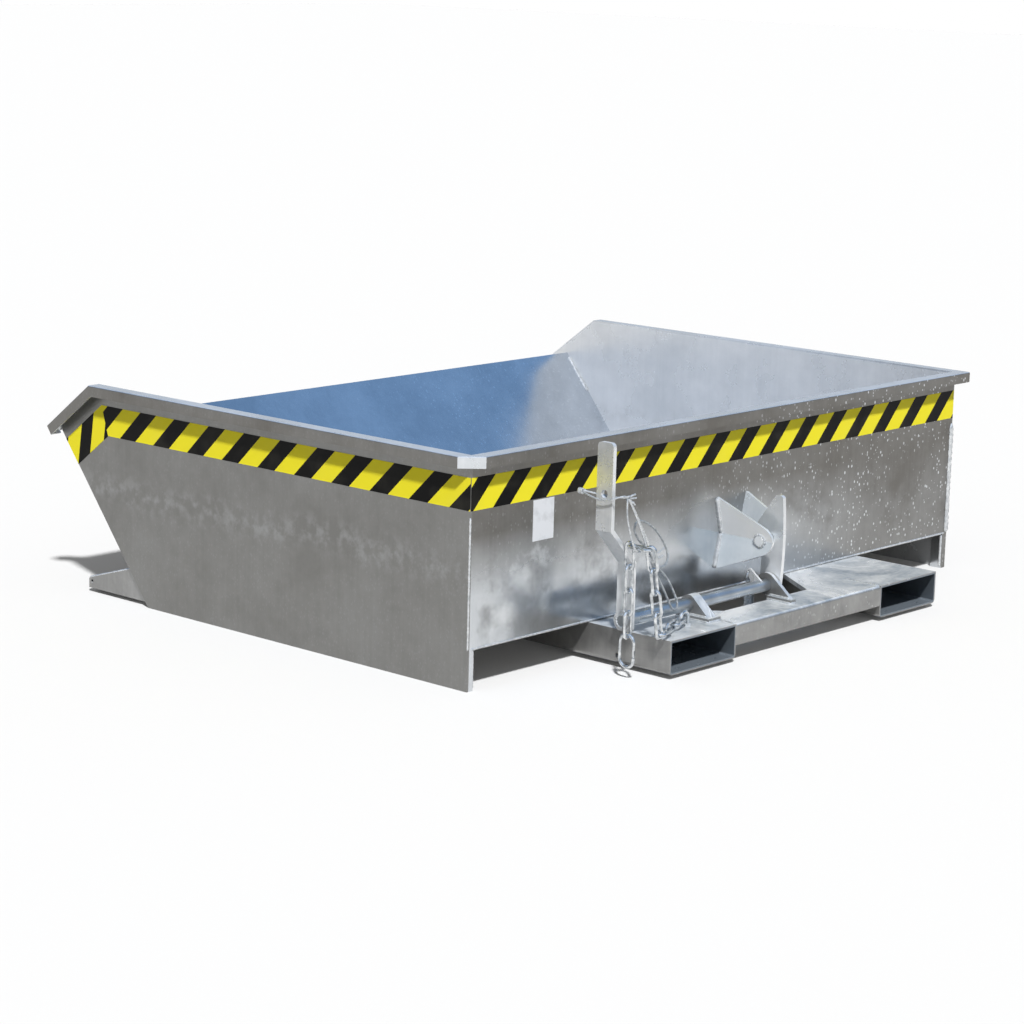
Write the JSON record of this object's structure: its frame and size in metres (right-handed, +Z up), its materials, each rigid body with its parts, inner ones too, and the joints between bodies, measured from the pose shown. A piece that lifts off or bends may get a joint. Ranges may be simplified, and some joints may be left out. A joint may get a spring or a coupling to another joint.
{
  "type": "tipping hopper",
  "caption": "Low galvanised tipping skip with fork pockets, hinged along its front edge to a base and held down at the rear by a hook with a hand release lever.",
  "frame": {"origin": "on the ground, under the middle of the overall box", "axes": "+Y forward to the pouring lip, +Z up, X across; the release lever is at -X"},
  "size_m": [1.444, 1.234, 0.404],
  "materials": {
    "zinc_sheet": "hot-dip galvanised, spangled",
    "zinc_base": "hot-dip galvanised",
    "zinc_latch": "hot-dip galvanised",
    "chain_zinc": "bright zinc plated",
    "plated_steel": "zinc plated",
    "tie_wire": "galvanised wire",
    "wire_rope": "galvanised strands",
    "ferrule": "pressed",
    "hazard_tape": "striped film",
    "label": "blank film"
  },
  "bodies": {
    "base": {"fork_pocket_left": "zinc_base", "fork_pocket_right": "zinc_base", "rear_cross_member": "zinc_base", "corner_gussets": "zinc_base", "wedge_shell": "zinc_base", "wedge_rear_plate": "zinc_base", "wedge_end_cheeks": "zinc_base", "hinge_ears": "zinc_sheet", "hinge_pin_left": "plated_steel", "hinge_pin_right": "plated_steel", "split_pin_left": "plated_steel", "split_pin_right": "plated_steel", "bracket_pads": "zinc_latch", "shaft_bracket_left": "zinc_latch", "shaft_bracket_right": "zinc_latch", "spring_peg": "plated_steel", "return_spring": "plated_steel", "chain_bow": "chain_zinc", "chain_run": "chain_zinc"},
    "hopper": {"rear_wall": "zinc_sheet", "floor_front_sheet": "zinc_sheet", "lip_bar": "zinc_sheet", "rim_rear": "zinc_sheet", "foot_flats": "zinc_sheet", "side_plate_left": "zinc_sheet", "side_plate_right": "zinc_sheet", "rim_left": "zinc_sheet", "rim_right": "zinc_sheet", "tape_side_left": "hazard_tape", "tape_side_right": "hazard_tape", "tape_lip_left": "hazard_tape", "tape_lip_right": "hazard_tape", "tape_rear": "hazard_tape", "label_blank": "label", "hinge_leaf_left": "zinc_sheet", "hinge_leaf_right": "zinc_sheet", "catch_cheek_left": "zinc_latch", "catch_cheek_right": "zinc_latch", "catch_pin": "zinc_latch"},
    "latch": {"latch_shaft": "zinc_latch", "latch_hook": "zinc_latch", "release_lever": "zinc_latch", "lever_boss": "zinc_latch", "spring_lug": "zinc_latch", "chain_tied": "chain_zinc", "snap_hook_body": "chain_zinc", "snap_hook_rivet": "chain_zinc", "wire_tie": "tie_wire", "cable_ferrule": "ferrule", "cable_loop_upper": "wire_rope", "cable_loop_lower": "wire_rope"},
    "snap_gate": {"snap_hook_gate": "chain_zinc"}
  },
  "joints": [
    {"name": "trough_tip", "type": "hinge", "parent": "base", "child": "hopper", "pos_m": [0, 0.39098, 0.066], "axis": [-1, 0, 0], "range_deg": [0, 65]},
    {"name": "latch_release", "type": "hinge", "parent": "base", "child": "latch", "pos_m": [-0.006, -0.531, 0.092], "axis": [1, 0, 0], "range_deg": [0, 32], "stiffness_Nm_per_rad": 2, "springref_deg": -28.65, "deforming": ["return_spring", "chain_run"]},
    {"name": "snap_gate_swing", "type": "hinge", "parent": "latch", "child": "snap_gate", "pos_m": [-0.44, -0.5745, 0.04114], "axis": [-1, 0, 0], "range_deg": [0, 28], "stiffness_Nm_per_rad": 0.02, "springref_deg": -28.65}
  ]
}
